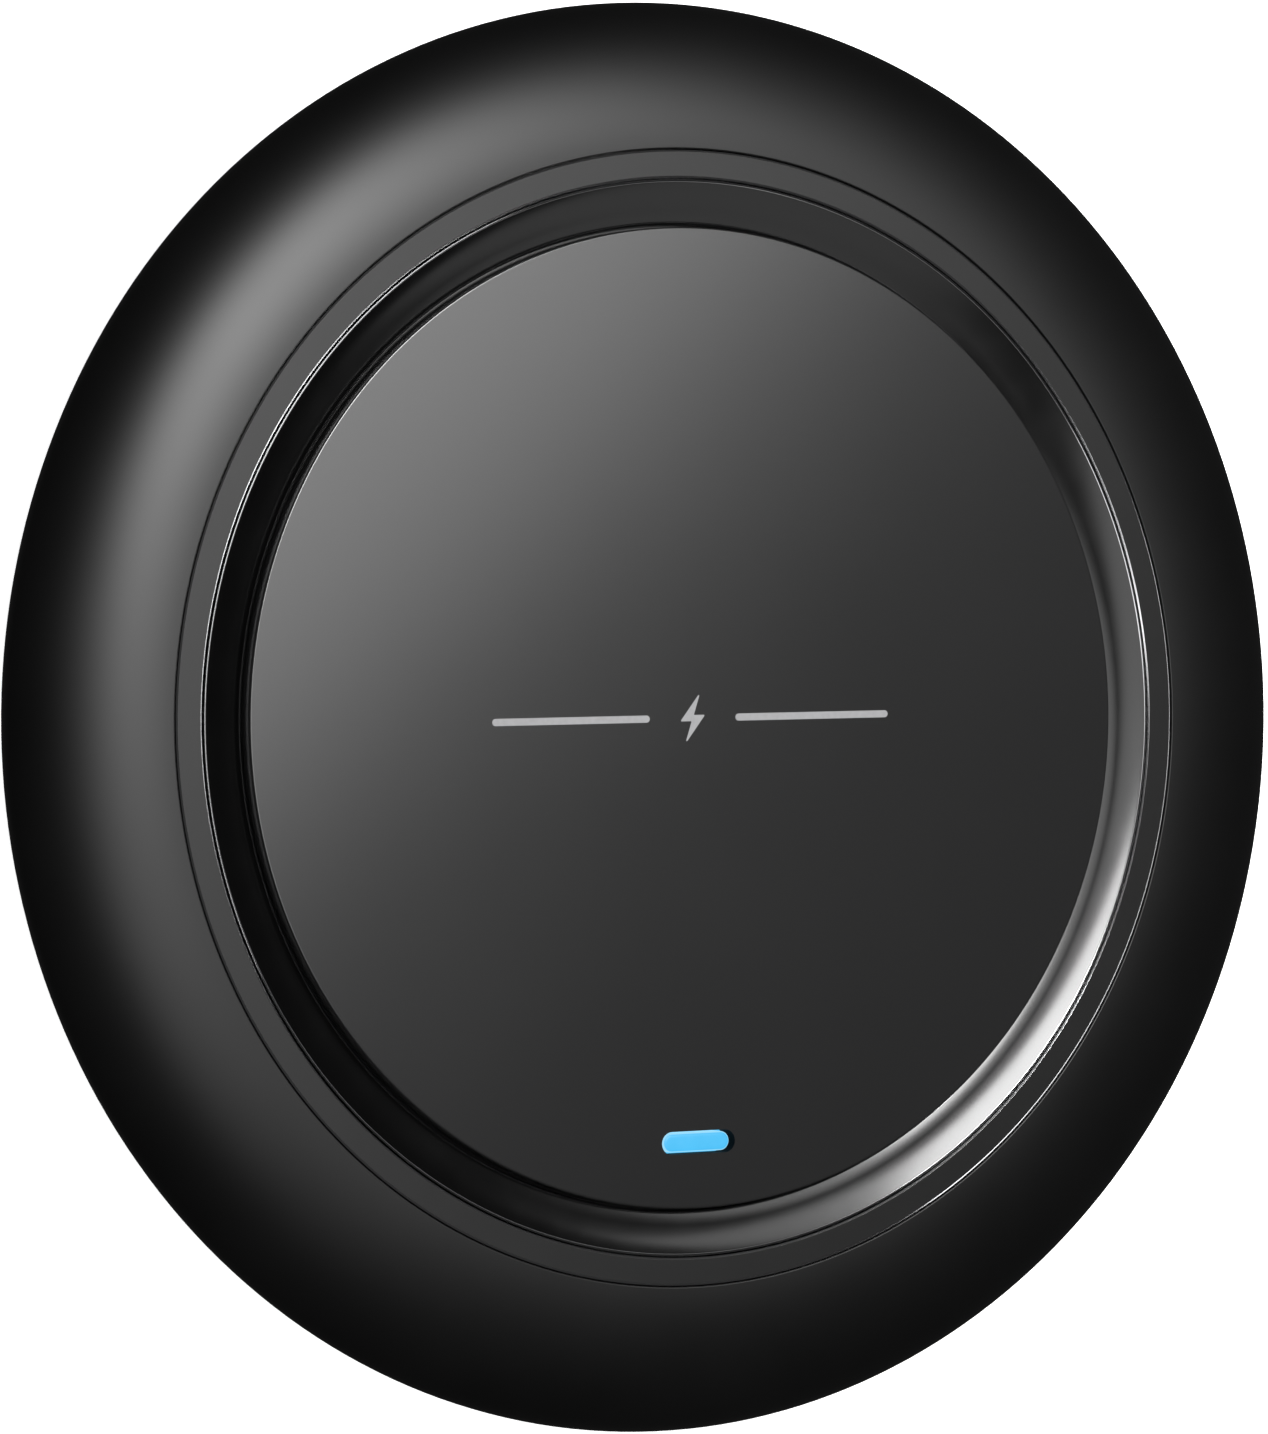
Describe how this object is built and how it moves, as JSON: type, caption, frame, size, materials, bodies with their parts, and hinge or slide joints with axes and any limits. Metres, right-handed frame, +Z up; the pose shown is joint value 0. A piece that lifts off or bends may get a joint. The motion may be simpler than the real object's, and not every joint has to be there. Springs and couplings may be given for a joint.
{
  "type": "wireless charging pad",
  "caption": "Round low pad with a rounded black rim, a glossy channel and a raised centre plate that a phone lies on to charge.",
  "frame": {"origin": "centre of the pad on the surface it stands on, at the underside of the foot ring", "axes": "+Z up through the plate, +X along the printed mark, -Y to the front with the status light, +Y to the rear with the USB socket"},
  "size_m": [0.1, 0.1, 0.0102],
  "materials": {
    "soft_shell": "soft-touch satin black",
    "trim": "satin black",
    "channel": "polished piano black",
    "plate": "satin black",
    "window": "clear, lit blue",
    "print": "pale grey ink",
    "foot": "matt",
    "label": "matt film, blank",
    "screw": "zinc plated",
    "coil": "enamelled copper litz",
    "ferrite": "sintered, matt",
    "tape": "adhesive film",
    "foam": "open-cell foam",
    "board": "green solder mask",
    "chip": "moulded epoxy",
    "ceramic": "fired",
    "lamp": "clear epoxy",
    "tin": "tin plated",
    "gold": "gold plated",
    "nylon": "glass-filled"
  },
  "bodies": {
    "root": {"top_shell": "soft_shell", "bottom_shell": "soft_shell", "trim_ring": "trim", "channel_ring": "channel", "charging_plate": "plate", "foot_ring": "foot", "rating_label": "label", "light_pipe": "window", "light_gasket": "foam", "status_led_blue": "lamp", "status_led_red": "lamp", "transmit_coil": "coil", "ferrite_shield": "ferrite", "coil_tape": "tape", "thermistor": "chip", "circuit_board": "board", "controller_ic": "chip", "mosfet_1": "chip", "mosfet_2": "chip", "regulator": "chip", "input_inductor": "ferrite", "input_capacitor_1": "ceramic", "input_capacitor_2": "ceramic", "usb_shell": "tin", "usb_tongue": "nylon", "print_bolt": "print", "print_line_left": "print", "print_line_right": "print", "case_screw_1": "screw", "case_screw_2": "screw", "case_screw_3": "screw", "case_screw_4": "screw", "board_screw_1": "screw", "board_screw_2": "screw", "board_screw_3": "screw", "board_screw_4": "screw", "resonant_capacitor_1": "ceramic", "resonant_capacitor_2": "ceramic", "resonant_capacitor_3": "ceramic", "resonant_capacitor_4": "ceramic", "usb_contact_1": "gold", "usb_contact_2": "gold", "usb_contact_3": "gold", "usb_contact_4": "gold", "usb_contact_5": "gold"}
  },
  "joints": []
}
